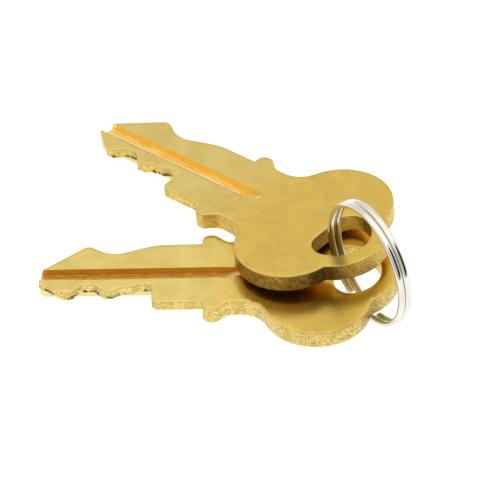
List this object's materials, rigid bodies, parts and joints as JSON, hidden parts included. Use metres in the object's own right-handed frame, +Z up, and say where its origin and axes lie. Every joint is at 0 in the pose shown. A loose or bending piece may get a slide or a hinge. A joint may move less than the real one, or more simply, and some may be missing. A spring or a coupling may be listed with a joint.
{
  "type": "pair of door keys on a split ring",
  "caption": "Two flat brass cylinder keys with three-lobed bows and a milled side groove, fanned out on one two-turn nickel-plated split ring.",
  "frame": {"origin": "on the table under the middle of the set's bounding box", "axes": "+X along the lower key from its nose to its bow, +Y to the smooth back of its blade, +Z up from the table"},
  "size_m": [0.0498, 0.0434, 0.0178],
  "materials": {
    "key_brass": "satin machined brass with fine grain",
    "ring_nickel": "polished nickel plate"
  },
  "bodies": {
    "lower_key": {"key_lower": "key_brass"},
    "upper_key": {"key_upper": "key_brass"},
    "ring": {"split_ring": "ring_nickel"}
  },
  "joints": [
    {"name": "ring_turn", "type": "hinge", "parent": "lower_key", "child": "ring", "pos_m": [0.01938, -0.01377, 0.00892], "axis": [0.8387, 0.5446, 0], "continuous": true},
    {"name": "key_fan", "type": "hinge", "parent": "lower_key", "child": "upper_key", "pos_m": [0.01509, -0.00716, 0.00562], "axis": [-0.0799, 0.0682, 0.9945], "range_deg": [-90, 4]}
  ]
}
